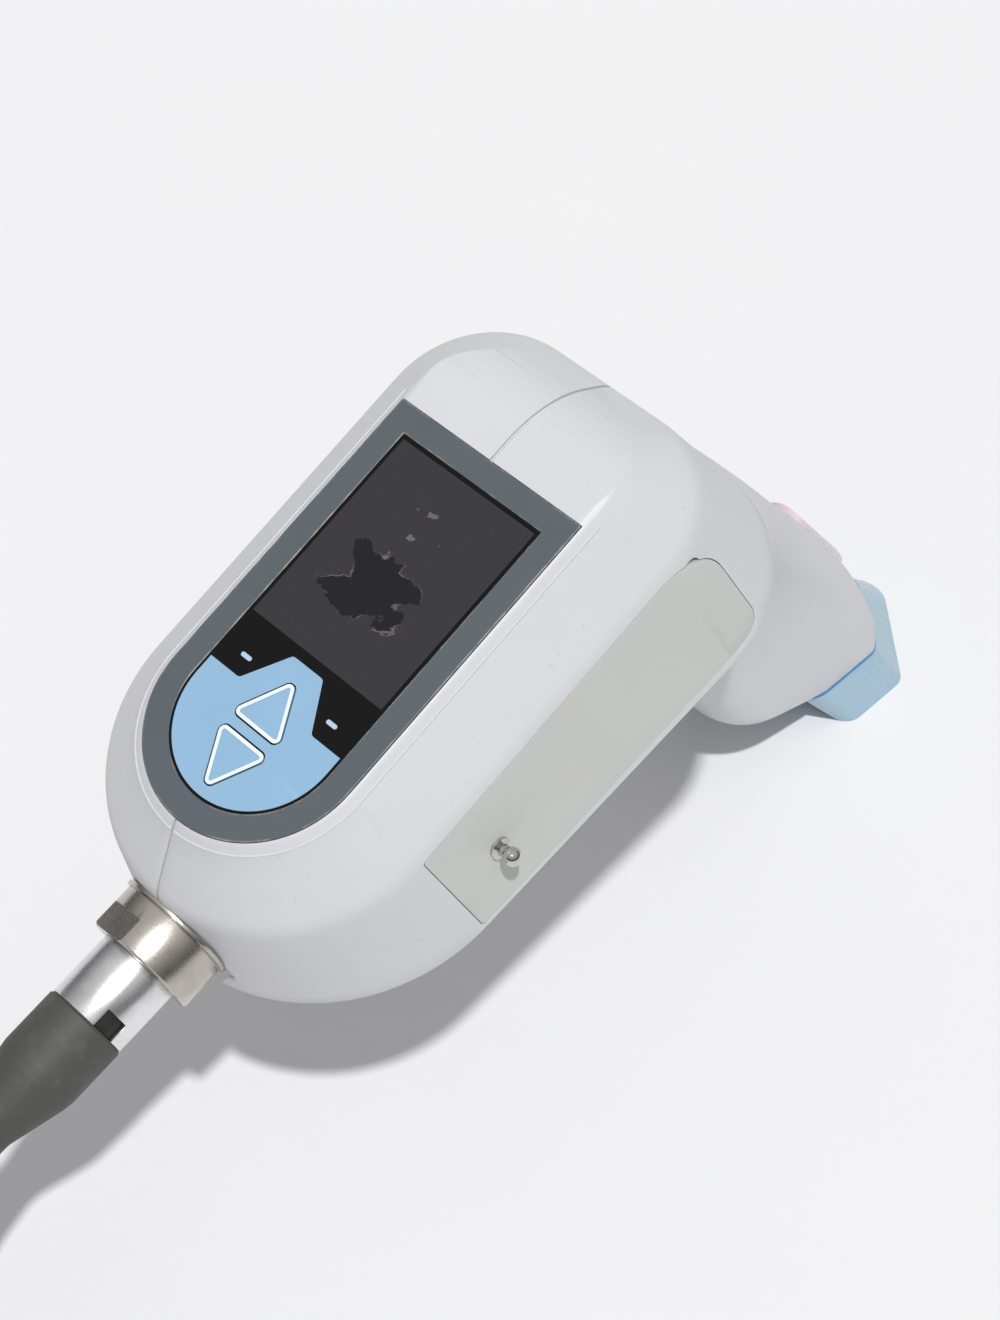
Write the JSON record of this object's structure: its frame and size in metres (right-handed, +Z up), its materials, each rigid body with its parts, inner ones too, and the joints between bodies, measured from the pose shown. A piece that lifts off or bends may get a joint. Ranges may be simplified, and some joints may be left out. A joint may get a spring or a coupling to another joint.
{
  "type": "intraoral dental camera handpiece",
  "caption": "Hand-held dental camera: tilted white body with a small screen and arrow keys, forward-leaning snout with a flared blue mouthpiece, and a plugged-in cable.",
  "frame": {"origin": "middle of the mouthpiece's mouth, on the surface the handpiece stands on", "axes": "+Z up, square to the mouth; +Y from the cable end to the snout; +X to the right, towards the label side"},
  "size_m": [0.1292, 0.3842, 0.1271],
  "materials": {
    "housing_white": "fine satin moulded ABS",
    "bezel_grey": "slate grey, rubbed bright at the edge",
    "window_black": "black printed glossy window",
    "keypad_blue": "light blue printed membrane",
    "lcd_dark": "unlit screen",
    "light_pipe": "pale blue clear",
    "backlight": "white diffuser",
    "board_green": "solder mask",
    "steel": "plain",
    "dome_steel": "plain",
    "chip_black": "moulded package",
    "socket_ivory": "moulded",
    "chassis_grey": "moulded",
    "label_grey": "warm grey inset plate",
    "stud_chrome": "polished",
    "brass": "turned",
    "nickel": "nickel plated, slightly warm",
    "barrel_chrome": "satin chrome",
    "insert_ivory": "moulded insulator",
    "pin_gold": "gold plated",
    "collet_dark": "rough dark",
    "boot_grey": "olive grey, soft, a little worn",
    "cable_grey": "olive grey jacket",
    "tie_black": "hook and loop strap",
    "button_pink": "pale rose",
    "lens_glass": "coated",
    "barrel_black": "black anodised",
    "sensor_dark": "sensor cover",
    "led_white": "phosphor",
    "board_white": "white solder mask",
    "bracket_alu": "milled",
    "seal_blue": "blue elastomer",
    "tip_blue": "light blue, slightly translucent",
    "flex_amber": "polyimide",
    "wire_red": "pvc"
  },
  "bodies": {
    "handpiece": {"housing_left": "housing_white", "housing_right": "housing_white", "housing_screws": "steel", "display_bezel": "bezel_grey", "display_window": "window_black", "keypad_sheet": "keypad_blue", "led_light_pipes": "light_pipe", "lcd_panel": "lcd_dark", "lcd_backlight": "backlight", "keypad_board": "board_green", "key_domes": "dome_steel", "status_led_chips": "led_white", "display_chassis": "chassis_grey", "chassis_screws": "steel", "main_board": "board_green", "main_chips": "chip_black", "board_sockets": "socket_ivory", "board_screws": "steel", "label_plate": "label_grey", "dock_stud": "stud_chrome", "stud_nut": "brass", "receptacle": "barrel_chrome", "receptacle_nut": "brass", "connector_washer": "stud_chrome", "connector_collar": "nickel", "plug_barrel": "barrel_chrome", "plug_insert": "insert_ivory", "plug_pins": "pin_gold", "plug_collet": "collet_dark", "cable_boot": "boot_grey", "cable_cord": "cable_grey", "cable_coil": "cable_grey", "coil_tie": "tie_black", "station_boot": "boot_grey", "station_plug": "barrel_chrome", "station_pins": "pin_gold", "snout_housing": "housing_white", "button_spring": "steel", "button_switch": "chip_black", "switch_board": "board_green", "optics_bracket": "bracket_alu", "lens_barrel": "barrel_black", "front_lens": "lens_glass", "rear_lens": "lens_glass", "sensor_board": "board_green", "image_sensor": "sensor_dark", "illumination_board": "board_white", "illumination_leds": "led_white", "nose_window": "lens_glass", "tip_seal": "seal_blue", "flex_cable": "flex_amber", "wire_harness": "wire_red"},
    "tip": {"tip_cover": "tip_blue"},
    "up_key": {"key_up": "keypad_blue"},
    "down_key": {"key_down": "keypad_blue"},
    "capture_trigger": {"capture_button": "button_pink"}
  },
  "joints": [
    {"name": "up_key_press", "type": "slide", "parent": "handpiece", "child": "up_key", "axis": [0, 0.3811, -0.9245], "range_m": [0, 0.00035], "stiffness_N_per_m": 2000, "springref_m": -0.0001},
    {"name": "down_key_press", "type": "slide", "parent": "handpiece", "child": "down_key", "axis": [0, 0.3811, -0.9245], "range_m": [0, 0.00035], "stiffness_N_per_m": 2000, "springref_m": -0.0001},
    {"name": "capture_press", "type": "slide", "parent": "handpiece", "child": "capture_trigger", "axis": [0, -0.829, -0.5592], "range_m": [0, 0.0012], "stiffness_N_per_m": 900, "springref_m": -0.001, "deforming": ["button_spring"]},
    {"name": "tip_pull_off", "type": "slide", "parent": "handpiece", "child": "tip", "axis": [0, 0, -1], "range_m": [0, 0.02]}
  ]
}
